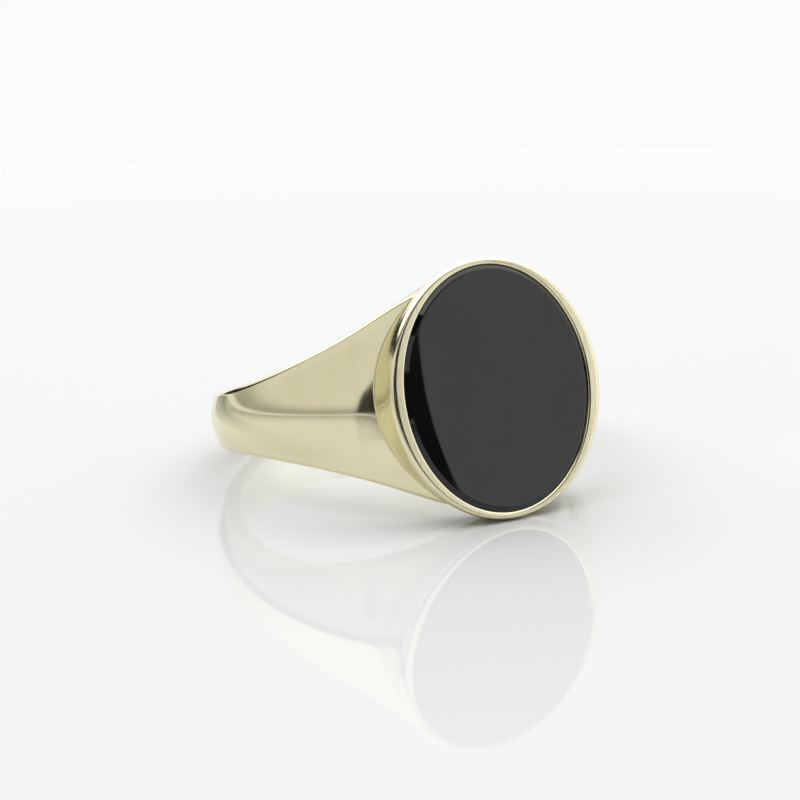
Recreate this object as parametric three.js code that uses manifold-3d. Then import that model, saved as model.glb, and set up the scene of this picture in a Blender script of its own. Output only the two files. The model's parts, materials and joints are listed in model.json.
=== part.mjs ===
// Oval signet ring with a flat onyx, lying on its side as a ring is laid on a table.
// Millimetres, +Z up. The ring is designed upright in its own axes, then laid down at the end:
//   x  across the hand, y  from the finger's axis out through the stone, z  along the finger.
import * as THREE from 'three';
import { mergeVertices } from 'three/addons/utils/BufferGeometryUtils.js';
import Module from 'manifold-3d';

// Driving dimensions
const boreRadius = 8.5;
const rimTop = 10.4;
const stoneHalf = { x: 5.0, z: 6.0 };
const wallThickness = { x: 0.6, z: 0.3 };
const lipInset = 0.08;
const edgeRadius = 0.2;
const fitGap = 0.02;

// Stone: flat table, bevelled edge, short girdle, tapered below it
const tableHeight = 10.46;
const tableInset = 0.28;
const girdleTop = 10.26;
const girdleBottom = 10.0;
const stoneBase = 9.3;
const stoneBaseInset = 0.2;

// Head: a block on the finger, whose oval narrows a little from the rim down to the bore
const blockTop = 9.0;
const flarePower = 1.6;
const flareAtBore = { x: 0.17, z: 0.54 };
const bearingWidth = 0.55;

// Shank: half widths and thicknesses at the stone and at the back of the finger
const halfWidthAtStone = 6.0;
const halfWidthAtBack = 1.3;
const widthSpread = THREE.MathUtils.degToRad(49);
const widthPower = 1.55;
const thicknessAtStone = 1.1;
const thicknessAtBack = 1.0;
const thicknessPower = 0.3;
const domeSlope = 0.14;
const domeRidge = 1.0;

// The sides of the shoulders sweep up to the rim over the last stretch before the head
const sweepStart = THREE.MathUtils.degToRad(40);
const sweepEnd = THREE.MathUtils.degToRad(15);
const sweepRise = 2.2;
const sweepPower = 2;
const hornSpread = 2.2;
const hornEnd = 2.7;
const solderThickness = 0.1;

// Reach of the solids that only cut: past the ring's sides, and below the top of the bore
const beyondRing = 14;
const belowBore = 3;

// Facets
const ovalSteps = 72;
const shankSteps = 96;
const domeSteps = 8;
const cornerSteps = 3;

const gold = new THREE.MeshStandardMaterial({ color: 0xe6d9a0, roughness: 0.12, metalness: 1 });
const solderGold = new THREE.MeshStandardMaterial({ color: 0xd9c98c, roughness: 0.3, metalness: 1 });
const onyx = new THREE.MeshStandardMaterial({ color: 0x0b0b0d, roughness: 0.06, metalness: 0 });
const cement = new THREE.MeshStandardMaterial({ color: 0xd8d2bd, roughness: 0.8, metalness: 0 });

const wasm = await Module();
wasm.setup();

// Reverses the triangles of a closed mesh that is inside out.
function faceOut(geometry) {
  const position = geometry.getAttribute('position');
  const index = geometry.getIndex().array;
  const corner = [new THREE.Vector3(), new THREE.Vector3(), new THREE.Vector3()];
  let volume = 0;
  for (let i = 0; i < index.length; i += 3) {
    corner.forEach((point, k) => point.fromBufferAttribute(position, index[i + k]));
    volume += corner[0].dot(corner[1].cross(corner[2]));
  }
  if (volume < 0) {
    index.reverse();
  }
  return geometry;
}

// Keeps only positions, merges shared vertices and drops the triangles that closed to a line.
function closed(geometry) {
  geometry.deleteAttribute('normal');
  geometry.deleteAttribute('uv');
  const merged = mergeVertices(geometry);
  const kept = [];
  const index = merged.getIndex().array;
  for (let i = 0; i < index.length; i += 3) {
    const [a, b, c] = index.slice(i, i + 3);
    if (a !== b && b !== c && c !== a) {
      kept.push(a, b, c);
    }
  }
  merged.setIndex(kept);
  return faceOut(merged);
}

function toSolid(geometry) {
  const vertProperties = new Float32Array(geometry.getAttribute('position').array);
  const triVerts = new Uint32Array(geometry.getIndex().array);
  return new wasm.Manifold(new wasm.Mesh({ numProp: 3, vertProperties, triVerts }));
}

function toGeometry(solid) {
  const mesh = solid.getMesh();
  const geometry = new THREE.BufferGeometry();
  geometry.setAttribute('position', new THREE.BufferAttribute(mesh.vertProperties, 3));
  geometry.setIndex(new THREE.BufferAttribute(mesh.triVerts, 1));
  return geometry;
}

// An oval at height y, whose half axes are those of the stone's girdle plus an offset.
function stoneOval(offset, y) {
  return new THREE.Vector3(stoneHalf.x + offset, y, stoneHalf.z + offset);
}

// The oval of the head's outer wall at height y, moved outwards by an offset.
function headOval(y, offset = 0) {
  const drop = ((rimTop - y) / (rimTop - boreRadius)) ** flarePower;
  const x = stoneHalf.x + wallThickness.x - flareAtBore.x * drop + offset;
  const z = stoneHalf.z + wallThickness.z - flareAtBore.z * drop + offset;
  return new THREE.Vector3(x, y, z);
}

const axisPoint = (y) => new THREE.Vector3(0, y, 0);

// Turns a profile of ovals about the y axis: each entry holds its half axes in x and z.
function ovalSolid(ovals) {
  const profile = ovals.map((oval) => new THREE.Vector2(oval.x, oval.y));
  const geometry = new THREE.LatheGeometry(profile, ovalSteps);
  const position = geometry.getAttribute('position');
  for (let i = 0; i < position.count; i += 1) {
    const oval = ovals[i % ovals.length];
    if (oval.x > 0) {
      position.setZ(i, position.getZ(i) * (oval.z / oval.x));
    }
  }
  return closed(geometry);
}

// The whole oval column that the head's outer wall bounds, from inside the finger to past the rim.
function headColumn(offset) {
  const bottom = boreRadius - belowBore;
  const top = rimTop + sweepRise;
  const levels = 10;
  const ovals = [axisPoint(bottom)];
  for (let k = 0; k <= levels; k += 1) {
    const y = THREE.MathUtils.lerp(bottom, top, k / levels);
    ovals.push(headOval(Math.min(y, rimTop), offset).setY(y));
  }
  ovals.push(axisPoint(top));
  return toSolid(ovalSolid(ovals));
}

function boreSolid() {
  const cylinder = new THREE.CylinderGeometry(boreRadius, boreRadius, beyondRing, shankSteps);
  cylinder.rotateX(Math.PI / 2);
  return toSolid(closed(cylinder));
}

// Half width of the shank at an angle from the stone: wide shoulders, a narrow even back.
function shankHalfWidth(angle) {
  const fade = Math.exp(-((angle / widthSpread) ** widthPower));
  return THREE.MathUtils.lerp(halfWidthAtBack, halfWidthAtStone, fade);
}

// Thickness along the middle of the shank.
function shankThickness(angle) {
  const towardsStone = ((1 + Math.cos(angle)) / 2) ** thicknessPower;
  return THREE.MathUtils.lerp(thicknessAtBack, thicknessAtStone, towardsStone);
}

// Rise of the outer face beside the head, which leaves out the middle of the shank.
function hornRise(angle, across) {
  const swept = THREE.MathUtils.clamp((sweepStart - angle) / (sweepStart - sweepEnd), 0, 1);
  return sweepRise * swept ** sweepPower * (1 - Math.exp(-((across / hornSpread) ** 2)));
}

// How far the domed outer face has dropped at a distance from the middle of the shank:
// a hyperbola, round at the middle and nearly straight out to the edges.
function domeDrop(across, halfWidth) {
  const curve = (distance) => Math.hypot(domeRidge, distance) - domeRidge;
  return domeSlope * (halfWidth + domeRidge) * (curve(across) / curve(halfWidth));
}

// Outline of the shank's section: x is the radius from the finger's axis, y the place along it.
function shankSection(angle) {
  const halfWidth = shankHalfWidth(angle);
  const middleRadius = boreRadius + shankThickness(angle);
  const faceRadius = (across) => {
    return middleRadius - domeDrop(across, halfWidth) + hornRise(angle, across);
  };
  const flat = halfWidth - edgeRadius;
  const points = [];
  for (let k = 0; k <= domeSteps; k += 1) {
    const across = THREE.MathUtils.lerp(-flat, flat, k / domeSteps);
    points.push(new THREE.Vector2(faceRadius(across), across));
  }
  const edgeThickness = faceRadius(flat) - boreRadius;
  const roundness = Math.min(edgeRadius, edgeThickness / 2);
  const corner = (side, end, from) => {
    for (let k = 1; k < cornerSteps; k += 1) {
      const turn = from + (Math.PI / 2) * (k / cornerSteps);
      const radius = boreRadius + end + roundness * Math.cos(turn);
      points.push(new THREE.Vector2(radius, side * flat + edgeRadius * Math.sin(turn)));
    }
  };
  corner(1, edgeThickness - roundness, 0);
  points.push(new THREE.Vector2(boreRadius + edgeThickness - roundness, halfWidth));
  points.push(new THREE.Vector2(boreRadius + roundness, halfWidth));
  corner(1, roundness, Math.PI / 2);
  points.push(new THREE.Vector2(boreRadius, flat));
  points.push(new THREE.Vector2(boreRadius, -flat));
  corner(-1, roundness, Math.PI);
  points.push(new THREE.Vector2(boreRadius + roundness, -halfWidth));
  points.push(new THREE.Vector2(boreRadius + edgeThickness - roundness, -halfWidth));
  corner(-1, edgeThickness - roundness, 1.5 * Math.PI);
  points.push(points[0].clone());
  return points;
}

// The hoop before the head is let into it: the section carried once round the finger.
function hoopSolid() {
  const outline = shankSection(0);
  const geometry = new THREE.LatheGeometry(outline, shankSteps);
  const position = geometry.getAttribute('position');
  for (let step = 0; step <= shankSteps; step += 1) {
    const turn = ((step % shankSteps) / shankSteps) * 2 * Math.PI;
    const section = shankSection(Math.min(turn, 2 * Math.PI - turn));
    section.forEach((point, k) => {
      const x = point.x * Math.sin(turn);
      const y = point.x * Math.cos(turn);
      position.setXYZ(step * outline.length + k, x, y, point.y);
    });
  }
  return toSolid(closed(geometry));
}

function boxSolid(size, centre) {
  const box = new THREE.BoxGeometry(...size);
  box.translate(...centre);
  return toSolid(closed(box));
}

const hoop = hoopSolid();
const column = headColumn(0);

// The stretch of the hoop that passes under the stone, where the head takes its place.
function underStone(halfLength) {
  return boxSolid([2 * halfLength, beyondRing, beyondRing], [0, beyondRing / 2, 0]);
}

function shank() {
  const end = underStone(hornEnd + fitGap);
  return toGeometry(hoop.subtract(headColumn(solderThickness)).subtract(end));
}

// Solder that fills the joint between one end of the shank and the head; side is -1 or +1.
function shoulderSolder(side) {
  const film = headColumn(solderThickness - fitGap).subtract(headColumn(fitGap));
  const middle = side * (hornEnd + fitGap + beyondRing / 2);
  const half = boxSolid([beyondRing, beyondRing, beyondRing], [middle, beyondRing / 2, 0]);
  return toGeometry(hoop.intersect(film).intersect(half));
}

// The head's block: the oval column and, below its ends, the hoop's own sides carried across.
function headBlock() {
  const whole = column.add(hoop.intersect(underStone(hornEnd)));
  const height = blockTop - boreRadius + belowBore;
  const belowStone = boxSolid([beyondRing, height, beyondRing], [0, blockTop - height / 2, 0]);
  return toGeometry(whole.intersect(belowStone).subtract(boreSolid()));
}

// Thin wall that stands on the block round the stone, with its top edge rubbed over the bevel.
function bezelStrip() {
  const foot = blockTop + fitGap;
  const crown = headOval(rimTop - edgeRadius);
  const ovals = [headOval(foot), headOval((foot + crown.y) / 2), crown];
  for (let k = 1; k <= cornerSteps; k += 1) {
    const turn = (Math.PI / 2) * (k / cornerSteps);
    const inwards = edgeRadius * (1 - Math.cos(turn));
    const y = rimTop - edgeRadius * (1 - Math.sin(turn));
    ovals.push(new THREE.Vector3(crown.x - inwards, y, crown.z - inwards));
  }
  ovals.push(stoneOval(-lipInset, rimTop));
  ovals.push(stoneOval(2 * fitGap, girdleTop));
  ovals.push(stoneOval(fitGap, girdleBottom));
  ovals.push(stoneOval(fitGap - stoneBaseInset, stoneBase));
  ovals.push(stoneOval(fitGap - stoneBaseInset, foot));
  ovals.push(ovals[0].clone());
  return ovalSolid(ovals);
}

// Ledge inside the wall that the stone's edge rests on.
function bearingWire() {
  const outer = -stoneBaseInset;
  const inner = outer - bearingWidth;
  const foot = blockTop + fitGap;
  const seat = stoneBase - fitGap;
  const ovals = [
    stoneOval(outer, foot), stoneOval(outer, seat), stoneOval(inner, seat), stoneOval(inner, foot),
    stoneOval(outer, foot),
  ];
  return ovalSolid(ovals);
}

function cementBed() {
  const edge = -stoneBaseInset - bearingWidth - fitGap;
  const foot = blockTop + fitGap;
  const top = stoneBase - fitGap;
  return ovalSolid([axisPoint(foot), stoneOval(edge, foot), stoneOval(edge, top), axisPoint(top)]);
}

function stone() {
  return ovalSolid([
    axisPoint(stoneBase),
    stoneOval(-stoneBaseInset, stoneBase),
    stoneOval(0, girdleBottom),
    stoneOval(0, girdleTop),
    stoneOval(-tableInset, tableHeight),
    axisPoint(tableHeight),
  ]);
}

const ring = new THREE.Group();

function add(name, geometry, material) {
  const mesh = new THREE.Mesh(geometry, material);
  mesh.name = name;
  ring.add(mesh);
}

add('shank', shank(), gold);
add('shoulder_solder_left', shoulderSolder(-1), solderGold);
add('shoulder_solder_right', shoulderSolder(1), solderGold);
add('head_block', headBlock(), gold);
add('bezel_strip', bezelStrip(), gold);
add('bearing_wire', bearingWire(), gold);
add('cement_bed', cementBed(), cement);
add('onyx', stone(), onyx);

// The ring lies on two rounded edges of equal radius, the rim's and the one at the shank's back,
// so it leans by the slope between the centres of those two edges.
const backSection = shankSection(Math.PI);
const backEdgeRadius = backSection[domeSteps].x - edgeRadius;
const rimEdge = headOval(rimTop - edgeRadius);
const lean = Math.atan2(
  rimEdge.z - edgeRadius - (halfWidthAtBack - edgeRadius),
  rimEdge.y + backEdgeRadius,
);
ring.rotation.x = Math.PI - lean;

// Origin: on the table, under the middle of the ring's box.
const group = new THREE.Group();
group.add(ring);
group.updateMatrixWorld(true);
const box = new THREE.Box3().setFromObject(ring, true);
const middle = box.getCenter(new THREE.Vector3());
ring.position.set(-middle.x, -middle.y, -box.min.z);

export default group;
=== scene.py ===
"""Signet ring with a flat oval onyx, lying on its side on a glossy white table.

The ring is worked out upright in its own millimetre axes and then leant onto the table:
x across the hand, r from the finger's axis out through the stone, w along the finger.
"""
import json

import bpy
import numpy as np
from mathutils import Matrix, Vector


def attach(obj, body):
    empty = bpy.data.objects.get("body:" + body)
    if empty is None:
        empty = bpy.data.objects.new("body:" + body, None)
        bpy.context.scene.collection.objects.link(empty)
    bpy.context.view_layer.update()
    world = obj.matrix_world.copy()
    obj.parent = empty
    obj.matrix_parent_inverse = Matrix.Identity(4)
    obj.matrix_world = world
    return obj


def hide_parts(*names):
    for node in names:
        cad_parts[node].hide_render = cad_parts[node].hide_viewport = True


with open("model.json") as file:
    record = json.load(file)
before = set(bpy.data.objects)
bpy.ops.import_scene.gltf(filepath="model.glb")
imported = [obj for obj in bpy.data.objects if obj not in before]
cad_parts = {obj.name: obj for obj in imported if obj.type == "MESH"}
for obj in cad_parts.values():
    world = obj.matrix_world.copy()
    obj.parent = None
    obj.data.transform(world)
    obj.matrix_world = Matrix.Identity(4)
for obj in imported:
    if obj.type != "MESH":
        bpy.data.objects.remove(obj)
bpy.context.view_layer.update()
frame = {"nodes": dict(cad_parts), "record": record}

MM = 0.001

# Head and stone, in millimetres: half axes are (across the hand, along the finger)
STONE_HALF = np.array([5.0, 6.0])
WALL = np.array([0.62, 0.30])
FLARE = np.array([0.17, 0.54])
FLARE_POWER = 1.6
RIM_TOP = 10.4
RIM_ROUND = np.array([0.24, 0.16])
RIM_TILT = np.radians(0.8)
LIP_ROUND = 0.12
LIP_INSET = 0.08
BLOCK_TOP = 9.0
TABLE_TOP = 10.46
TABLE_INSET = 0.28
TABLE_EDGE = 0.03
GIRDLE_TOP = 10.26
GIRDLE_BOTTOM = 10.0
STONE_BASE = 9.3
STONE_BASE_INSET = 0.2
FIT_GAP = 0.02

# Shank: widths and thicknesses by the angle round the finger from the stone
BORE = 8.5
HALF_WIDTH_AT_STONE = 6.0
HALF_WIDTH_AT_BACK = 1.3
WIDTH_SPREAD = np.radians(49)
WIDTH_POWER = 1.55
THICKNESS = 1.1
THICKNESS_AT_BACK = 1.0
DOME_SLOPE = 0.14
DOME_RIDGE = 1.0
SWEEP_START = np.radians(40)
SWEEP_END = np.radians(15)
SWEEP_RISE = 2.2
HORN_SPREAD = 2.2
OUTER_ROUND = 0.22
OUTER_ROUND_AT_BACK = 0.45
ROUND_GROWS_FROM = np.radians(50)
ROUND_GROWS_TO = np.radians(88)
INNER_ROUND = 0.16
SOLDER_WIDTH = 0.07

# The stone's mount gives the way the ring leans and the place of the finger's axis
face = frame["record"]["mounts"][0]
ACROSS = np.array([1.0, 0.0, 0.0])
OUT = np.array(face["axis"])
ALONG = np.cross(OUT, ACROSS)
FACE_MIDDLE = np.array(face["pos_m"])
FINGER_AXIS = FACE_MIDDLE - TABLE_TOP * MM * OUT


def lay(x, r, w):
    """Puts the ring's own x, r and w, in millimetres, where they are in the room, in metres."""
    parts = [np.multiply.outer(part, axis) for part, axis in ((x, ACROSS), (r, OUT), (w, ALONG))]
    return FINGER_AXIS + MM * sum(parts)


def smooth(low, high, value):
    """Goes from 0 at low to 1 at high along a curve that is level at both ends."""
    share = np.clip((value - low) / (high - low), 0, 1)
    return share * share * (3 - 2 * share)


# ---------------------------------------------------------------- meshes

def mesh_piece(name, points, faces, worn, material):
    """Makes a closed mesh, turned face out by the sign of its volume, with its wear as an attribute."""
    points = np.asarray(points, dtype=float)
    quads = np.array([(f + f[-1:])[:4] for f in faces])
    a, b, c, d = (points[quads[:, k]] for k in range(4))
    volume = np.einsum("ij,ij->", a, np.cross(b, c)) + np.einsum("ij,ij->", a, np.cross(c, d))
    if volume < 0:
        faces = [f[::-1] for f in faces]
    mesh = bpy.data.meshes.new(name)
    mesh.from_pydata(points.tolist(), [], faces)
    mesh.polygons.foreach_set("use_smooth", [True] * len(mesh.polygons))
    mesh.set_sharp_from_angle(angle=np.radians(40))
    attribute = mesh.attributes.new("worn", "FLOAT", "POINT")
    attribute.data.foreach_set("value", np.asarray(worn, dtype=np.float32).ravel())
    mesh.materials.append(material)
    mesh.validate()
    piece = bpy.data.objects.new(name, mesh)
    bpy.context.scene.collection.objects.link(piece)
    return piece


def band_faces(rings, around, close_rings):
    """Quads between neighbouring rings of points, each of which closes on itself."""
    last = rings if close_rings else rings - 1
    ring = np.arange(last)[:, None]
    step = np.arange(around)[None, :]
    near = ring * around
    far = ((ring + 1) % rings) * around
    after = (step + 1) % around
    quads = np.stack([near + step, near + after, far + after, far + step], axis=-1)
    return quads.reshape(-1, 4).tolist()


def fan_faces(pole, first, around, outwards):
    """Triangles from a pole to the ring of points that starts at first."""
    step = np.arange(around)
    ends = [first + step, first + (step + 1) % around]
    if not outwards:
        ends.reverse()
    return np.stack([np.full(around, pole)] + ends, axis=-1).tolist()


def turned_piece(name, rings, worn, material, poles=None):
    """Rings of points joined in order: the last joins the first, or each end closes to a pole."""
    count, around = rings.shape[:2]
    points = rings.reshape(-1, 3)
    worn = np.broadcast_to(np.asarray(worn)[:, None], (count, around)).reshape(-1)
    faces = band_faces(count, around, close_rings=poles is None)
    if poles is not None:
        first, last = count * around, count * around + 1
        points = np.vstack([points, poles])
        worn = np.append(worn, [0, 0])
        faces += fan_faces(first, 0, around, outwards=False)
        faces += fan_faces(last, (count - 1) * around, around, outwards=True)
    return mesh_piece(name, points, faces, worn, material)


# ---------------------------------------------------------------- head

OVAL_STEPS = 360
WORN_DEPTH = 0.35
FULLY_WORN_DEPTH = 0.1
BEVEL_REACH = 4.6
BARE_UNDERSIDE = 2.4
COVERED_UNDERSIDE = 4.2
LEAST_FOOT_ROUND = 0.03
EXTRA_FOOT_ROUND = 0.25


def oval_ring(half, r):
    """Points round an oval with the given half axes at height r: half axis times cosine or sine."""
    turn = np.linspace(0, 2 * np.pi, OVAL_STEPS, endpoint=False)
    return lay(half[0] * np.cos(turn), np.broadcast_to(r, turn.shape), half[1] * np.sin(turn))


def wall_half(r):
    """Half axes of the head's outer wall: the rim's, less a flare that grows as a power of the depth."""
    depth = np.maximum(RIM_TOP - np.asarray(r, dtype=float), 0) / (RIM_TOP - BORE)
    return STONE_HALF + WALL - FLARE * depth[..., None] ** FLARE_POWER


def bezel_profile():
    """The strip's section as half axes and heights.

    It goes up the wall, over a quarter round, across a top that tilts in, down the lip and the inner faces.
    """
    shoulder = RIM_TOP - RIM_ROUND.max()
    profile = [(wall_half(r), r) for r in np.linspace(BLOCK_TOP, shoulder, 24)]
    outer = wall_half(shoulder)
    lip = STONE_HALF - LIP_INSET
    for turn in np.linspace(0, np.pi / 2, 22)[1:]:
        inwards = RIM_ROUND * (1 - np.cos(turn))
        profile.append((outer - inwards, RIM_TOP - (RIM_TOP - shoulder) * (1 - np.sin(turn))))
    flat = (outer - RIM_ROUND) - (lip + LIP_ROUND)
    drop = flat.mean() * np.tan(RIM_TILT)
    for share in (0.06, 0.5, 0.94):
        profile.append((outer - RIM_ROUND - flat * share, RIM_TOP - drop * share))
    for turn in np.linspace(0, np.pi / 2, 12):
        inwards = LIP_ROUND * np.sin(turn)
        profile.append((lip + LIP_ROUND - inwards, RIM_TOP - drop - LIP_ROUND * (1 - np.cos(turn))))
    profile.append((STONE_HALF + 2 * FIT_GAP, GIRDLE_TOP))
    profile.append((STONE_HALF + FIT_GAP, GIRDLE_BOTTOM))
    profile.append((STONE_HALF + FIT_GAP - STONE_BASE_INSET, STONE_BASE))
    profile.append((STONE_HALF + FIT_GAP - STONE_BASE_INSET, BLOCK_TOP))
    return profile


def bezel_strip(material):
    """The thin wall round the stone, its section carried round the oval."""
    profile = bezel_profile()
    rings = np.array([oval_ring(half, r) for half, r in profile])
    worn = [smooth(RIM_TOP - WORN_DEPTH, RIM_TOP - FULLY_WORN_DEPTH, r) for half, r in profile]
    return turned_piece("bezel_strip_worked", rings, worn, material)


def onyx_profile():
    """The stone's section: tapered base, girdle, bevel, and a short round onto the flat table."""
    profile = [
        (STONE_HALF - STONE_BASE_INSET, STONE_BASE),
        (STONE_HALF, GIRDLE_BOTTOM),
        (STONE_HALF, GIRDLE_TOP),
    ]
    slope = np.array([-TABLE_INSET, TABLE_TOP - GIRDLE_TOP])
    edge = TABLE_EDGE / np.hypot(*slope)
    corner_half = STONE_HALF - TABLE_INSET
    for share in (0.03, 0.5, 0.97 - edge, 1 - edge):
        profile.append((STONE_HALF + slope[0] * share, GIRDLE_TOP + slope[1] * share))
    for share in np.linspace(0, 1, 7)[1:]:
        start = np.array([-slope[0] * edge, -slope[1] * edge])
        end = np.array([-TABLE_EDGE, 0])
        off = (1 - share) ** 2 * start + share ** 2 * end
        profile.append((corner_half + off[0], TABLE_TOP + off[1]))
    for share in (0.998, 0.99, 0.9, 0.6, 0.3):
        profile.append(((corner_half - TABLE_EDGE) * share, TABLE_TOP))
    return profile


def onyx_stone(material):
    """The flat oval stone, its section carried round the oval and closed at its middle."""
    profile = onyx_profile()
    rings = np.array([oval_ring(half, r) for half, r in profile])
    bevel_low, bevel_high = GIRDLE_TOP + 0.1, TABLE_TOP - 0.02
    worn = [smooth(bevel_low, bevel_high, r) * (half[0] > BEVEL_REACH) for half, r in profile]
    poles = lay(np.zeros(2), np.array([STONE_BASE, TABLE_TOP]), np.zeros(2))
    return turned_piece("onyx_polished", rings, worn, material, poles)


def wall_foot(turn):
    """Height at which the wall meets the bore: r is the bore's circle at the wall's own x."""
    r = np.full(turn.shape, BORE)
    for _ in range(30):
        x = wall_half(r)[..., 0] * np.cos(turn)
        r = np.sqrt(BORE ** 2 - x ** 2)
    return r


def head_block(material):
    """Block under the stone: flat top, oval wall, and an underside hollowed to the finger's circle.

    The edge between wall and underside is a quadratic curve, rounder where no shoulder covers it.
    """
    turn = np.linspace(0, 2 * np.pi, OVAL_STEPS, endpoint=False)
    cos, sin = np.cos(turn), np.sin(turn)
    foot = wall_foot(turn)
    half = wall_half(foot)
    bare = smooth(COVERED_UNDERSIDE, BARE_UNDERSIDE, np.abs(half[:, 0] * cos))
    soften = LEAST_FOOT_ROUND + EXTRA_FOOT_ROUND * bare
    rings, worn = [], []
    top_half = wall_half(BLOCK_TOP)
    for share in (0.3, 0.6, 0.9, 1.0):
        flat = np.full(turn.shape, BLOCK_TOP)
        rings.append(lay(top_half[0] * share * cos, flat, top_half[1] * share * sin))
        worn.append(0)
    for share in np.linspace(0, 1, 30)[1:]:
        r = BLOCK_TOP + (foot + soften - BLOCK_TOP) * share
        side = wall_half(r)
        rings.append(lay(side[:, 0] * cos, r, side[:, 1] * sin))
        worn.append(0)
    wall_end = (wall_half(foot + soften), foot + soften)
    under = 1 - soften / half.mean(axis=1)
    for share in np.linspace(0, 1, 12)[1:]:
        keep, pull, reach = (1 - share) ** 2, 2 * share * (1 - share), share ** 2
        x = (keep * wall_end[0][:, 0] + pull * half[:, 0] + reach * half[:, 0] * under) * cos
        w = (keep * wall_end[0][:, 1] + pull * half[:, 1] + reach * half[:, 1] * under) * sin
        inner = np.sqrt(BORE ** 2 - (half[:, 0] * under * cos) ** 2)
        rings.append(lay(x, keep * wall_end[1] + pull * foot + reach * inner, w))
        worn.append(0.6)
    for share in (0.85, 0.7, 0.55, 0.4, 0.25, 0.1):
        x = half[:, 0] * under * share * cos
        rings.append(lay(x, np.sqrt(BORE ** 2 - x ** 2), half[:, 1] * under * share * sin))
        worn.append(0)
    poles = lay(np.zeros(2), np.array([BLOCK_TOP, BORE]), np.zeros(2))
    return turned_piece("head_block_worked", np.array(rings), worn, material, poles)


# ---------------------------------------------------------------- shank

SHANK_STEPS = 380
DOME_STEPS = 48
ROUND_STEPS = 12
END_CROWDING = 0.12
SUNK_IN_WALL = 0.03


def half_width(angle):
    """Half width: wide at the stone, fading to the back as a stretched bell curve of the angle."""
    fade = np.exp(-((np.abs(angle) / WIDTH_SPREAD) ** WIDTH_POWER))
    return HALF_WIDTH_AT_BACK + (HALF_WIDTH_AT_STONE - HALF_WIDTH_AT_BACK) * fade


def middle_radius(angle):
    """Radius along the middle of the shank: the bore plus a thickness that eases towards the back."""
    backwards = smooth(np.pi / 2, np.pi, np.abs(angle))
    return BORE + THICKNESS + (THICKNESS_AT_BACK - THICKNESS) * backwards


def horn_rise(angle, across):
    """Rise of the shoulders' sides to the rim.

    It is the square of the nearness to the head, times one less a bell curve across the shank, so that
    the middle stays a plain circle.
    """
    swept = np.clip((SWEEP_START - np.abs(angle)) / (SWEEP_START - SWEEP_END), 0, None)
    return SWEEP_RISE * swept ** 2 * (1 - np.exp(-((across / HORN_SPREAD) ** 2)))


def outer_round(angle):
    """Radius of the rounded outer edge: small on the shoulders, fuller round the back."""
    backwards = smooth(ROUND_GROWS_FROM, ROUND_GROWS_TO, np.abs(angle))
    return OUTER_ROUND + (OUTER_ROUND_AT_BACK - OUTER_ROUND) * backwards


def dome_drop(across, width):
    """Drop of the domed face: a hyperbola, round at the middle, nearly straight to the edges."""
    full = np.hypot(DOME_RIDGE, width) - DOME_RIDGE
    share = (np.hypot(DOME_RIDGE, across) - DOME_RIDGE) / full
    return DOME_SLOPE * (width + DOME_RIDGE) * share


def face_radius(angle, across, width):
    """Radius of the outer face: the middle's, less the dome's drop, plus the horns' rise."""
    return middle_radius(angle) - dome_drop(across, width) + horn_rise(angle, across)


def half_section(angle):
    """Half of the section, from its middle outwards and back: dome, edge round, side, bore round, bore.

    Gives radius and place along the finger; the two rounds are circular arcs tangent to what they join.
    """
    angle = np.asarray(angle, dtype=float)[:, None]
    width = half_width(angle)
    rounding = outer_round(angle)
    middle = width - rounding
    tilt = np.zeros_like(width)
    nudge = 0.01
    for _ in range(6):
        start = middle + rounding * np.sin(tilt)
        fall = face_radius(angle, start - nudge, width) - face_radius(angle, start + nudge, width)
        tilt = np.arctan(fall / (2 * nudge))
    start = middle + rounding * np.sin(tilt)
    centre = face_radius(angle, start, width) - rounding * np.cos(tilt)
    share = np.linspace(0, 1, DOME_STEPS, endpoint=False)
    across = share * start
    dome = (face_radius(angle, across, width), across)
    bend = tilt + (np.pi / 2 - tilt) * np.linspace(0, 1, ROUND_STEPS)
    outer = (centre + rounding * np.cos(bend), middle + rounding * np.sin(bend))
    bend = np.linspace(0, np.pi / 2, ROUND_STEPS)
    corner = width - INNER_ROUND
    inner_radius = np.broadcast_to(BORE + INNER_ROUND * (1 - np.sin(bend)), (len(width), ROUND_STEPS))
    inner = (inner_radius, corner + INNER_ROUND * np.cos(bend))
    share = np.linspace(1, 0, DOME_STEPS, endpoint=False)[1:]
    bore = (np.full((len(width), len(share)), BORE), share * corner)
    worn = np.concatenate([
        smooth(0.8, 1.0, np.linspace(0, 1, DOME_STEPS)),
        np.ones(ROUND_STEPS), 0.7 * np.ones(ROUND_STEPS), np.zeros(DOME_STEPS - 1),
    ])
    radii = np.concatenate([dome[0], outer[0], inner[0], bore[0]], axis=1)
    places = np.concatenate([dome[1], outer[1], inner[1], bore[1]], axis=1)
    return radii, places, worn


def section(angle):
    """The whole section as one loop: the half, the bore's middle, and the half again mirrored."""
    radii, places, worn = half_section(angle)
    bore = np.full((len(radii), 1), BORE)
    loop_radii = np.concatenate([radii, bore, radii[:, :0:-1]], axis=1)
    loop_places = np.concatenate([places, np.zeros_like(bore), -places[:, :0:-1]], axis=1)
    return loop_radii, loop_places, np.concatenate([worn, [0], worn[:0:-1]])


def beyond_wall(angle, column, sink):
    """How far a section point at an angle is outside the head's oval wall, which is 0 on the wall."""
    radii, places, _ = section(angle)
    radius = radii[np.arange(len(angle)), column]
    w = places[np.arange(len(angle)), column]
    half = wall_half(radius * np.cos(angle)) - sink
    return (radius * np.sin(angle) / half[:, 0]) ** 2 + (w / half[:, 1]) ** 2 - 1


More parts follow.
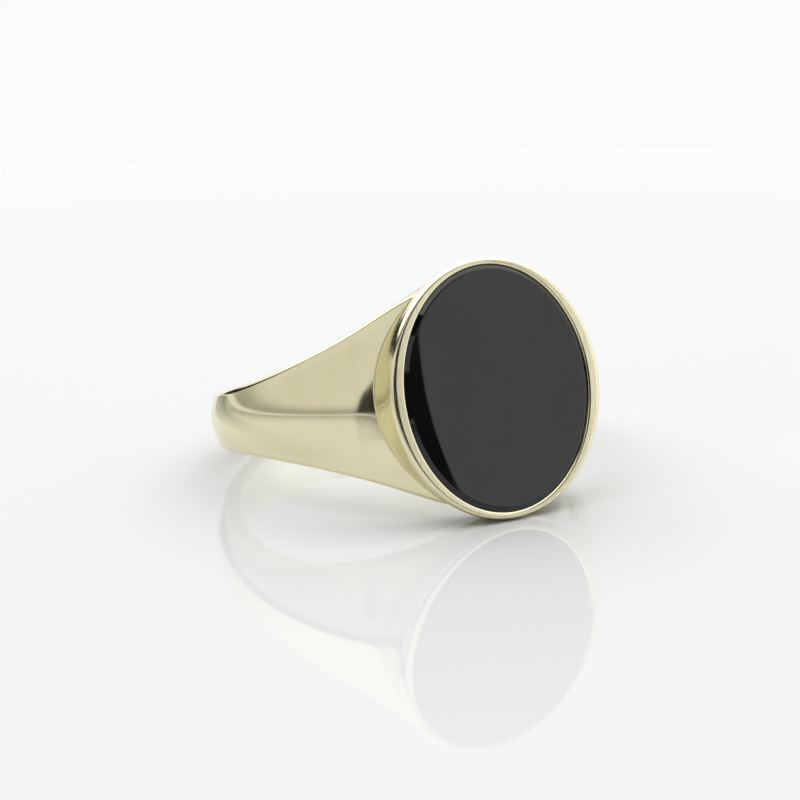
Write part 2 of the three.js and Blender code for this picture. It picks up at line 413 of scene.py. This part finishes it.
def end_angles(sink=SUNK_IN_WALL):
    """Angle at which each line along the shank reaches the head's wall, found by halving an interval."""
    count = section(np.array([1.0]))[0].shape[1]
    column = np.arange(count)
    low = np.full(count, np.radians(2.0))
    high = np.full(count, np.radians(60.0))
    for _ in range(40):
        middle = (low + high) / 2
        outside = beyond_wall(middle, column, sink) > 0
        high = np.where(outside, middle, high)
        low = np.where(outside, low, middle)
    return (low + high) / 2


def shank_points(angles):
    """Points of the shank for a grid of angles, one column for each line along it."""
    count = angles.shape[1]
    points = np.empty(angles.shape + (3,))
    for column in range(count):
        radii, places, _ = section(angles[:, column])
        radius, w = radii[:, column], places[:, column]
        points[:, column] = lay(radius * np.sin(angles[:, column]), radius * np.cos(angles[:, column]), w)
    return points


def shank(material):
    """The hoop and shoulders: the section carried round the finger from one side of the head to the other."""
    ends = end_angles()
    share = np.linspace(0, 1, SHANK_STEPS)[:, None]
    spread = share - END_CROWDING * np.sin(2 * np.pi * share) / (2 * np.pi)
    angles = ends + (2 * np.pi - 2 * ends) * spread
    mirrored = np.where(angles > np.pi, 2 * np.pi - angles, angles)
    grid = shank_points(mirrored)
    grid[..., 0] = np.where(angles > np.pi, -1, 1) * grid[..., 0]
    around = grid.shape[1]
    worn = np.broadcast_to(section(np.array([1.0]))[2], grid.shape[:2])
    faces = band_faces(SHANK_STEPS, around, close_rings=False)
    for first, outwards in ((0, False), ((SHANK_STEPS - 1) * around, True)):
        for k in range(around // 2 - 1):
            quad = [first + k, first + k + 1, first + around - k - 2, first + around - k - 1]
            faces.append(quad if outwards else quad[::-1])
    return mesh_piece("shank_worked", grid.reshape(-1, 3), faces, worn, material)


ANGLE_STEP = 0.002
HEIGHT_STEP = 0.01
SOLDER_SUNK = 0.4
SOLDER_TAPER = 0.4


def solder_cove(side, material):
    """Solder in the crease between a shoulder and the head.

    Its section is a small hollow curve from the wall to the shoulder: a quadratic curve that bends
    at the crease. It is carried along the crease and thins away at both ends. side is -1 or +1.
    """
    ends = end_angles(sink=0.0)
    total = len(ends)
    reach = DOME_STEPS + ROUND_STEPS // 2
    columns = np.concatenate([np.arange(total - reach, total), np.arange(reach + 1)])
    grid = np.stack([ends, ends + ANGLE_STEP])[:, columns]
    radii = np.array([[section(np.array([a]))[0][0, c] for a, c in zip(row, columns)] for row in grid])
    places = np.array([[section(np.array([a]))[1][0, c] for a, c in zip(row, columns)] for row in grid])
    curve = np.stack([side * radii * np.sin(grid), radii * np.cos(grid), places], axis=-1)
    crease, along = curve[0], curve[1] - curve[0]
    along /= np.linalg.norm(along, axis=1, keepdims=True)
    here, above = wall_half(crease[:, 1]), wall_half(crease[:, 1] + HEIGHT_STEP)
    growth = above - here
    up = np.stack([
        crease[:, 0] / here[:, 0] * growth[:, 0],
        np.full(len(crease), HEIGHT_STEP),
        crease[:, 2] / here[:, 1] * growth[:, 1],
    ], axis=-1)
    up /= np.linalg.norm(up, axis=1, keepdims=True)
    share = np.linspace(0, 1, len(crease))
    size = (SOLDER_WIDTH * np.sin(np.pi * share) ** SOLDER_TAPER)[:, None, None]
    bend = np.linspace(0, 1, 9)[None, :, None]
    hollow = (1 - bend) ** 2 * up[:, None] + bend ** 2 * along[:, None]
    inside = -SOLDER_SUNK * (up + along)[:, None]
    outline = crease[:, None] + size * np.concatenate([hollow, inside], axis=1)
    rings = lay(outline[..., 0], outline[..., 1], outline[..., 2])[1:-1]
    poles = lay(*(crease[[0, -1], axis] for axis in range(3)))
    name = "shoulder_solder_left_cove" if side < 0 else "shoulder_solder_right_cove"
    return turned_piece(name, rings, np.zeros(len(rings)), material, poles)


# ---------------------------------------------------------------- materials

def add_node(tree, kind, **settings):
    """Adds a node and sets its properties."""
    node = tree.nodes.new(kind)
    for name, value in settings.items():
        setattr(node, name, value)
    return node


def feed(tree, target, value):
    """Links a socket into another one, or sets the target to a plain value."""
    if isinstance(value, bpy.types.NodeSocket):
        tree.links.new(value, target)
    else:
        target.default_value = value


def maths(tree, operation, *values):
    """A Math node with its inputs fed in order."""
    node = add_node(tree, "ShaderNodeMath", operation=operation)
    for socket, value in zip(node.inputs, values):
        feed(tree, socket, value)
    return node.outputs[0]


def between(tree, value, low, high, start=0.0, end=1.0):
    """Maps a value from low..high to start..end along a smooth curve."""
    node = add_node(tree, "ShaderNodeMapRange", interpolation_type="SMOOTHSTEP")
    names = ("Value", "From Min", "From Max", "To Min", "To Max")
    for name, setting in zip(names, (value, low, high, start, end)):
        feed(tree, node.inputs[name], setting)
    return node.outputs["Result"]


def blend_colour(tree, share, first, second):
    """Mixes two colours."""
    node = add_node(tree, "ShaderNodeMix", data_type="RGBA")
    factor, colour_a, colour_b, mixed = node.inputs[0], node.inputs[6], node.inputs[7], node.outputs[2]
    feed(tree, factor, share)
    feed(tree, colour_a, first)
    feed(tree, colour_b, second)
    return mixed


def noise(tree, place, scale, detail=2.0):
    """Noise on a place, centred on a half."""
    node = add_node(tree, "ShaderNodeTexNoise")
    feed(tree, node.inputs["Vector"], place)
    feed(tree, node.inputs["Scale"], scale)
    feed(tree, node.inputs["Detail"], detail)
    return node.outputs["Fac"]


def new_group(name, inputs, outputs):
    """An empty shader group with named inputs and outputs."""
    group = bpy.data.node_groups.new(name, "ShaderNodeTree")
    for label, kind, value in inputs:
        socket = group.interface.new_socket(label, in_out="INPUT", socket_type=kind)
        if value is not None:
            socket.default_value = value
    for label, kind in outputs:
        group.interface.new_socket(label, in_out="OUTPUT", socket_type=kind)
    return group, add_node(group, "NodeGroupInput"), add_node(group, "NodeGroupOutput")


SCRATCH_TURNS = ((0.3, 0.2, 0.5), (1.3, 0.7, 2.1), (2.2, 1.9, 0.9))
SCRATCH_STRETCH = (1.0, 0.02, 0.02)


def hairline_group():
    """Fine straight scratches: noise stretched along three directions and cut to thin lines."""
    inputs = [
        ("Place", "NodeSocketVector", None),
        ("Fineness", "NodeSocketFloat", 30000.0),
        ("Amount", "NodeSocketFloat", 0.5),
    ]
    group, given, result = new_group("hairlines", inputs, [("Lines", "NodeSocketFloat")])
    total = None
    for turn in SCRATCH_TURNS:
        mapping = add_node(group, "ShaderNodeMapping")
        feed(group, mapping.inputs["Vector"], given.outputs["Place"])
        mapping.inputs["Rotation"].default_value = turn
        mapping.inputs["Scale"].default_value = SCRATCH_STRETCH
        grain = noise(group, mapping.outputs["Vector"], given.outputs["Fineness"], 0.0)
        line = between(group, grain, 0.66, 0.78)
        total = line if total is None else maths(group, "MAXIMUM", total, line)
    feed(group, result.inputs["Lines"], maths(group, "MULTIPLY", total, given.outputs["Amount"]))
    return group


def drift_group():
    """Slow, uneven change over a surface, as hand polishing leaves: two sizes of noise added up."""
    inputs = [("Place", "NodeSocketVector", None), ("Size", "NodeSocketFloat", 250.0)]
    group, given, result = new_group("polish_drift", inputs, [("Drift", "NodeSocketFloat")])
    broad = noise(group, given.outputs["Place"], given.outputs["Size"])
    close = noise(group, given.outputs["Place"], maths(group, "MULTIPLY", given.outputs["Size"], 4.3))
    broad_part = maths(group, "MULTIPLY", broad, 0.65)
    close_part = maths(group, "MULTIPLY", close, 0.35)
    feed(group, result.inputs["Drift"], maths(group, "ADD", broad_part, close_part))
    return group


def use_group(tree, group, **inputs):
    """Places a group in a material with its own values."""
    node = add_node(tree, "ShaderNodeGroup", node_tree=group)
    for name, value in inputs.items():
        feed(tree, node.inputs[name], value)
    return node.outputs[0]


hairlines = hairline_group()
polish_drift = drift_group()


def start_material(name):
    """A node material with its Principled shader and its Object coordinates."""
    material = bpy.data.materials.new(name)
    material.use_nodes = True
    tree = material.node_tree
    shader = tree.nodes["Principled BSDF"]
    place = add_node(tree, "ShaderNodeTexCoord").outputs["Object"]
    return material, tree, shader, place


def add_bump(tree, height, strength, distance, normal=None, invert=False):
    """A Bump node over an optional normal; its distance is in millimetres."""
    bump = add_node(tree, "ShaderNodeBump", invert=invert)
    bump.inputs["Strength"].default_value = strength
    bump.inputs["Distance"].default_value = distance * MM
    feed(tree, bump.inputs["Height"], height)
    if normal is not None:
        feed(tree, bump.inputs["Normal"], normal)
    return bump.outputs["Normal"]


def worked_metal(name, colour, deep, rough, rough_range, marks, drift_size=260.0, wave=0.004):
    """Polished gold: tone drifts a little, hairlines and worn edges change its gloss, faint waves bend it."""
    material, tree, shader, place = start_material(name)
    shader.inputs["Metallic"].default_value = 1.0
    drift = use_group(tree, polish_drift, Place=place, Size=drift_size)
    lines = use_group(tree, hairlines, Place=place, Amount=marks)
    worn = add_node(tree, "ShaderNodeAttribute", attribute_name="worn").outputs["Fac"]
    tone = blend_colour(tree, between(tree, drift, 0.35, 0.65), deep, colour)
    paler = [min(1.0, part * 1.04 + 0.01) for part in colour[:3]] + [1.0]
    tone = blend_colour(tree, maths(tree, "MULTIPLY", worn, 0.6), tone, paler)
    feed(tree, shader.inputs["Base Color"], tone)
    spread = maths(tree, "MULTIPLY", drift, rough_range)
    marked = maths(tree, "ADD", lines, maths(tree, "MULTIPLY", worn, 0.25))
    scuffed = maths(tree, "MULTIPLY", marked, rough_range)
    feed(tree, shader.inputs["Roughness"], maths(tree, "ADD", maths(tree, "ADD", spread, scuffed), rough))
    waves = add_bump(tree, drift, 1.0, wave)
    feed(tree, shader.inputs["Normal"], add_bump(tree, lines, 0.2, 0.0002, waves, invert=True))
    return material


def polished_onyx():
    """Black onyx: near black that drifts in tone, with a glass-like gloss and faint hairlines."""
    material, tree, shader, place = start_material("polished_onyx")
    drift = use_group(tree, polish_drift, Place=place, Size=340.0)
    lines = use_group(tree, hairlines, Place=place, Fineness=40000.0, Amount=0.4)
    worn = add_node(tree, "ShaderNodeAttribute", attribute_name="worn").outputs["Fac"]
    black, grey = (0.0028, 0.0028, 0.003, 1), (0.0052, 0.0053, 0.0058, 1)
    feed(tree, shader.inputs["Base Color"], blend_colour(tree, between(tree, drift, 0.3, 0.7), black, grey))
    scuffed = maths(tree, "MULTIPLY", maths(tree, "ADD", lines, worn), 0.01)
    clouded = maths(tree, "MULTIPLY", drift, 0.008)
    feed(tree, shader.inputs["Roughness"], maths(tree, "ADD", clouded, scuffed))
    shader.inputs["IOR"].default_value = 1.53
    feed(tree, shader.inputs["Normal"], add_bump(tree, lines, 0.1, 0.00001, invert=True))
    return material


def setting_cement():
    """Pale setting cement, grainy and matt."""
    material, tree, shader, place = start_material("setting_cement")
    grain = use_group(tree, polish_drift, Place=place, Size=2600.0)
    dark, pale = (0.52, 0.48, 0.38, 1), (0.72, 0.68, 0.57, 1)
    feed(tree, shader.inputs["Base Color"], blend_colour(tree, grain, dark, pale))
    feed(tree, shader.inputs["Roughness"], between(tree, grain, 0.2, 0.8, 0.6, 0.9))
    feed(tree, shader.inputs["Normal"], add_bump(tree, grain, 0.6, 0.02))
    return material


def table_top_material():
    """Glossy white acrylic with a faint unevenness in its gloss."""
    material, tree, shader, place = start_material("white_acrylic")
    drift = use_group(tree, polish_drift, Place=place, Size=30.0)
    white, whiter = (0.616, 0.624, 0.624, 1), (0.627, 0.635, 0.635, 1)
    feed(tree, shader.inputs["Base Color"], blend_colour(tree, drift, white, whiter))
    feed(tree, shader.inputs["Roughness"], between(tree, drift, 0.0, 1.0, 0.015, 0.035))
    shader.inputs["Specular IOR Level"].default_value = 0.08
    return material


gold = worked_metal(
    "polished_gold", colour=(0.80, 0.755, 0.52, 1), deep=(0.765, 0.70, 0.46, 1),
    rough=0.035, rough_range=0.10, marks=0.5,
)
rim_gold = worked_metal(
    "burnished_gold", colour=(0.82, 0.77, 0.53, 1), deep=(0.77, 0.71, 0.47, 1),
    rough=0.05, rough_range=0.12, marks=0.7, drift_size=420.0, wave=0.003,
)
solder = worked_metal(
    "solder_gold", colour=(0.76, 0.70, 0.46, 1), deep=(0.70, 0.63, 0.39, 1),
    rough=0.16, rough_range=0.2, marks=0.6, drift_size=900.0, wave=0.006,
)
inner_gold = worked_metal(
    "turned_wire_gold", colour=(0.78, 0.70, 0.44, 1), deep=(0.68, 0.60, 0.36, 1),
    rough=0.22, rough_range=0.2, marks=0.9, drift_size=700.0, wave=0.01,
)
onyx = polished_onyx()
cement = setting_cement()


# ---------------------------------------------------------------- pieces

def hand_in(piece, slot, *nodes):
    """Lets a piece ride on the ring and stand for its nodes, which it hides; slot is not used."""
    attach(piece, "root")
    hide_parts(*nodes)


hand_in(shank(gold), "gold", "shank")
hand_in(head_block(gold), "gold", "head_block")
hand_in(bezel_strip(rim_gold), "gold", "bezel_strip")
hand_in(onyx_stone(onyx), "onyx", "onyx")

hand_in(solder_cove(-1, solder), "solder", "shoulder_solder_left")
hand_in(solder_cove(1, solder), "solder", "shoulder_solder_right")

for node, material in (("bearing_wire", inner_gold), ("cement_bed", cement)):
    carried = frame["nodes"][node]
    carried.data.materials.clear()
    carried.data.materials.append(material)


# ---------------------------------------------------------------- table

TABLE_CENTRE = Vector((-0.0264, -0.0459, 0.0))
TABLE_RADIUS = 0.1298
TABLE_THICKNESS = 0.004
TABLE_ROUND = 0.0006
TABLE_STEPS = 720


def white_table():
    """A round sheet of acrylic: its section, with a rounded upper edge, carried round a circle."""
    turn = np.linspace(0, 2 * np.pi, TABLE_STEPS, endpoint=False)
    bend = np.linspace(0, np.pi / 2, 8)
    radii = [TABLE_RADIUS - TABLE_ROUND * (1 - np.sin(b)) for b in bend] + [TABLE_RADIUS]
    heights = [-TABLE_ROUND * (1 - np.cos(b)) for b in bend] + [-TABLE_THICKNESS]
    rings = []
    for radius, height in zip(radii, heights):
        x = TABLE_CENTRE.x + radius * np.cos(turn)
        y = TABLE_CENTRE.y + radius * np.sin(turn)
        rings.append(np.stack([x, y, np.full(TABLE_STEPS, height)], axis=-1))
    middle = np.array(TABLE_CENTRE)
    poles = np.array([middle, middle - [0, 0, TABLE_THICKNESS]])
    return turned_piece("white_table", np.array(rings), [0] * len(rings), table_top_material(), poles)


white_table()


# ---------------------------------------------------------------- light

# Brightness of the parts of the tent
TENT_WALL = (0.80, 0.80, 0.78, 1)
TENT_FOOT = (0.43, 0.43, 0.41, 1)
RIGHT_WALL = (1.12, 1.13, 1.15, 1)
PANEL_LOW = (1.08, 1.09, 1.10, 1)
PANEL_HIGH = (2.0, 2.0, 2.0, 1)
SEAM = (0.02, 0.02, 0.02, 1)
FAR_TABLE = (0.92, 0.92, 0.92, 1)
ROOM = (0.035, 0.035, 0.03, 1)
BACKDROP = (0.955, 0.958, 0.962, 1)

# Panel overhead: the way to its middle, and the cosines of the angles to its edge and to its dark seam
PANEL_DIRECTION = (0.161, 0.362, 0.918)
PANEL_EDGE = 0.50
PANEL_SOFT = 0.01
SEAM_EDGE = 0.30
SEAM_SOFT = 0.02

# Right edge of the opening, in degrees: it bows by the square of the distance from its middle height
EDGE_AZIMUTH = 27.145
EDGE_HEIGHT = 9.85
EDGE_BOW = 0.09
MOST_BOWED = 4.0
EDGE_SOFT = 0.02

# The opening's two parts and the right wall, in degrees: left, right, low, high
OPENING = (-38, 40, 0.5, 33)
OPENING_LEFT_PART = (-53.5, -36, 0.5, 22)
RIGHT_WALL_PATCH = (20, 178, -12, 60)


def direction_patch(tree, azimuth, height, sides, soft=1.5):
    """1 inside a patch of directions and 0 outside, with soft sides."""
    left, right, low, high = sides
    whole = between(tree, azimuth, left - soft, left + soft)
    for side in (
        between(tree, azimuth, right + soft, right - soft),
        between(tree, height, low - soft, low + soft),
        between(tree, height, high + soft, high - soft),
    ):
        whole = maths(tree, "MULTIPLY", whole, side)
    return whole


def past_right_edge(tree, azimuth, height):
    """1 to the right of the opening's bowed right edge and 0 to its left."""
    off_middle = maths(tree, "SUBTRACT", height, EDGE_HEIGHT)
    bow = maths(tree, "MINIMUM", maths(tree, "MULTIPLY", off_middle, off_middle), MOST_BOWED)
    bowed = maths(tree, "SUBTRACT", azimuth, maths(tree, "MULTIPLY", bow, EDGE_BOW))
    return between(tree, bowed, EDGE_AZIMUTH - EDGE_SOFT, EDGE_AZIMUTH + EDGE_SOFT)


def panel_nearness(tree, direction):
    """Cosine of the angle between a direction and the middle of the overhead panel."""
    towards_panel = add_node(tree, "ShaderNodeVectorMath", operation="DOT_PRODUCT")
    feed(tree, towards_panel.inputs[0], direction)
    towards_panel.inputs[1].default_value = PANEL_DIRECTION
    return towards_panel.outputs["Value"]


def light_tent():
    """White light tent, bright overhead and at the right, with the dark opening it is looked into through.

    The world is a colour by direction: azimuth is 0 towards -Y and grows to the right, both in degrees.
    """
    world = bpy.data.worlds.new("light_tent")
    bpy.context.scene.world = world
    world.use_nodes = True
    tree = world.node_tree
    direction = add_node(tree, "ShaderNodeTexCoord").outputs["Generated"]
    parts = add_node(tree, "ShaderNodeSeparateXYZ")
    feed(tree, parts.inputs[0], direction)
    x, y, z = parts.outputs
    azimuth = maths(tree, "DEGREES", maths(tree, "ARCTAN2", x, maths(tree, "MULTIPLY", y, -1.0)))
    height = maths(tree, "DEGREES", maths(tree, "ARCSINE", z))

    colour = blend_colour(tree, between(tree, height, 12, 1), TENT_WALL, TENT_FOOT)
    past_edge = past_right_edge(tree, azimuth, height)
    right_wall = direction_patch(tree, azimuth, height, RIGHT_WALL_PATCH)
    colour = blend_colour(tree, maths(tree, "MULTIPLY", past_edge, right_wall), colour, RIGHT_WALL)

    nearness = panel_nearness(tree, direction)
    seam = between(tree, nearness, SEAM_EDGE, SEAM_EDGE + SEAM_SOFT)
    on_left = between(tree, azimuth, 40, 20)
    colour = blend_colour(tree, maths(tree, "MULTIPLY", on_left, seam), colour, SEAM)
    panel_colour = blend_colour(tree, between(tree, height, 18, 45), PANEL_LOW, PANEL_HIGH)
    panel = between(tree, nearness, PANEL_EDGE - PANEL_SOFT, PANEL_EDGE + PANEL_SOFT)
    colour = blend_colour(tree, panel, colour, panel_colour)
    colour = blend_colour(tree, between(tree, height, 0.0, -0.5), colour, FAR_TABLE)

    before_edge = maths(tree, "SUBTRACT", 1.0, past_edge)
    opening = maths(tree, "MULTIPLY", before_edge, direction_patch(tree, azimuth, height, OPENING))
    left_part = direction_patch(tree, azimuth, height, OPENING_LEFT_PART, soft=1)
    colour = blend_colour(tree, maths(tree, "MAXIMUM", left_part, opening), colour, ROOM)
    seen = add_node(tree, "ShaderNodeLightPath").outputs["Is Camera Ray"]
    feed(tree, tree.nodes["Background"].inputs["Color"], blend_colour(tree, seen, colour, BACKDROP))


light_tent()


# ---------------------------------------------------------------- camera

CAMERA_AZIMUTH = np.radians(-27.4)
CAMERA_ELEVATION = np.radians(15.75)
CAMERA_DISTANCE = 0.1809
CAMERA_ROLL = np.radians(-1.79)
CAMERA_LENS = 170.9
FACE_RIGHT_OF_MIDDLE = 0.00470
FACE_ABOVE_MIDDLE = 0.00057


def set_camera():
    """Camera by azimuth, elevation and roll, aimed so that the stone sits right of the middle."""
    az, el, roll = CAMERA_AZIMUTH, CAMERA_ELEVATION, CAMERA_ROLL
    back = Vector((np.sin(az) * np.cos(el), -np.cos(az) * np.cos(el), np.sin(el)))
    right = Vector((0, 0, 1)).cross(back).normalized()
    up = back.cross(right)
    side = right * np.cos(roll) + up * np.sin(roll)
    top = back.cross(side)
    aim = Vector(FACE_MIDDLE) - side * FACE_RIGHT_OF_MIDDLE - top * FACE_ABOVE_MIDDLE
    data = bpy.data.cameras.new("camera")
    data.lens = CAMERA_LENS
    data.sensor_width = 36
    data.clip_start = 0.005
    data.clip_end = 10
    camera = bpy.data.objects.new("camera", data)
    bpy.context.scene.collection.objects.link(camera)
    turn = Matrix((side, top, back)).transposed().to_4x4()
    camera.matrix_world = Matrix.Translation(aim + back * CAMERA_DISTANCE) @ turn
    bpy.context.scene.camera = camera


set_camera()
bpy.context.scene.view_settings.view_transform = "Standard"
